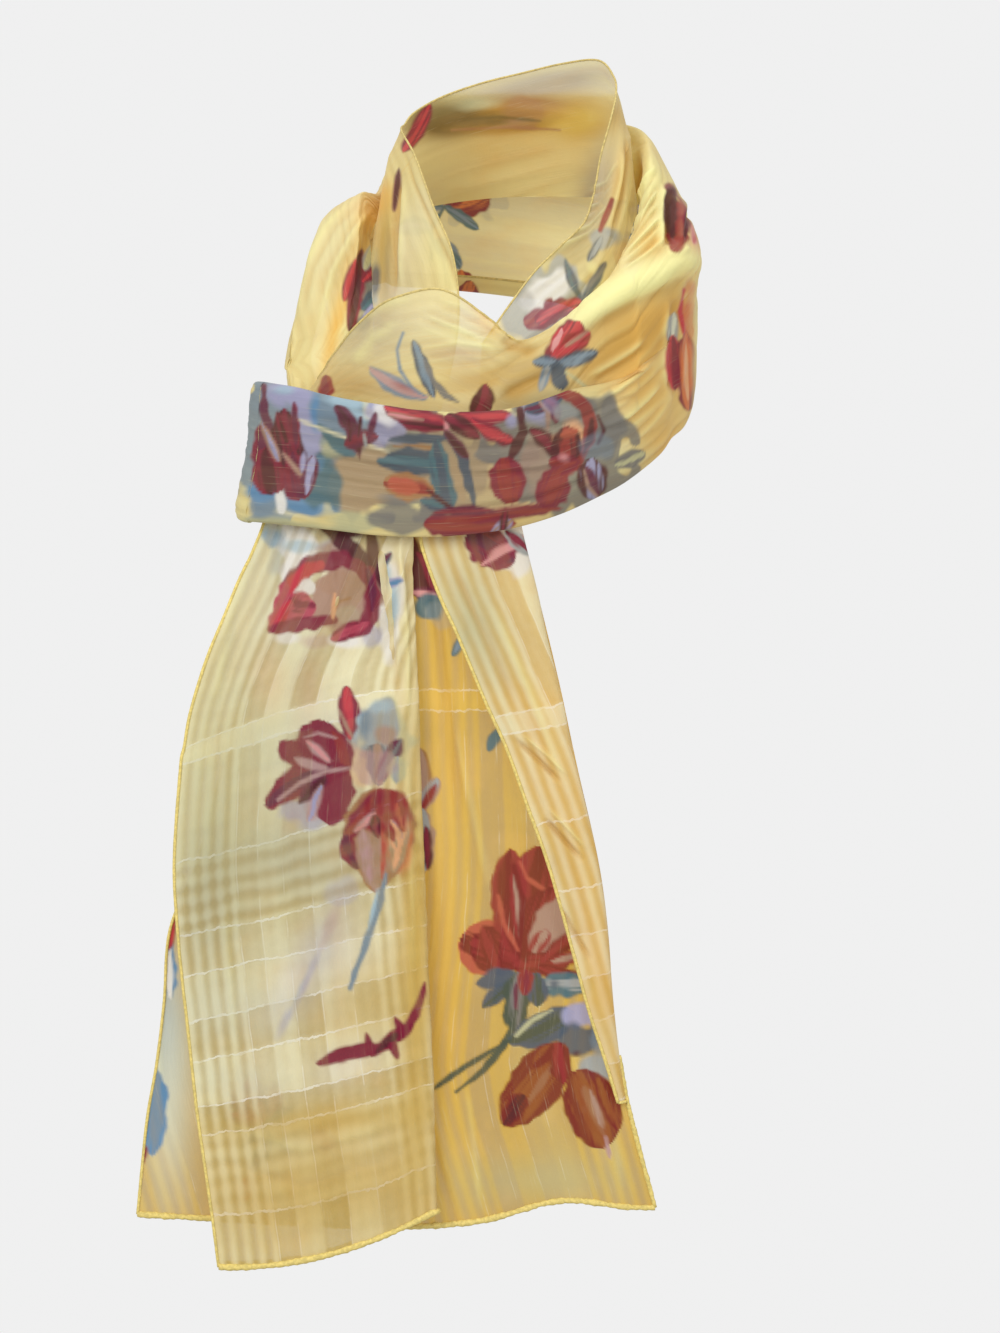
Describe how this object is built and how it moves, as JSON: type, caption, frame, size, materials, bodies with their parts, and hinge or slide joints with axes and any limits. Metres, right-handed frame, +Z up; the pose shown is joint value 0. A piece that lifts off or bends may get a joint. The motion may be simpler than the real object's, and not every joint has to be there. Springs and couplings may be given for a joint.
{
  "type": "chiffon scarf",
  "caption": "Long sheer floral scarf, worn: wound once round the neck, tucked over itself in front, with two hanging ends.",
  "frame": {"origin": "middle of the neck opening, at the height where the scarf rests round the neck", "axes": "+Z up along the neck, -Y towards the front, where the two ends hang, +X to the right of a viewer who faces the front"},
  "size_m": [0.248, 0.1999, 0.5068],
  "materials": {
    "one_layer": "sheer yellow chiffon, one layer",
    "two_layers": "sheer yellow chiffon, doubled",
    "many_layers": "sheer yellow chiffon, gathered"
  },
  "bodies": {
    "root": {"lapel_left": "one_layer", "stand_back": "one_layer", "lapel_right": "one_layer", "loop_left": "many_layers", "loop_back": "two_layers", "loop_right": "many_layers", "front_flap": "one_layer", "front_band": "two_layers", "band_turn": "two_layers", "band_return": "two_layers", "front_end": "two_layers", "back_end": "one_layer", "back_end_turnover": "two_layers"}
  },
  "joints": []
}
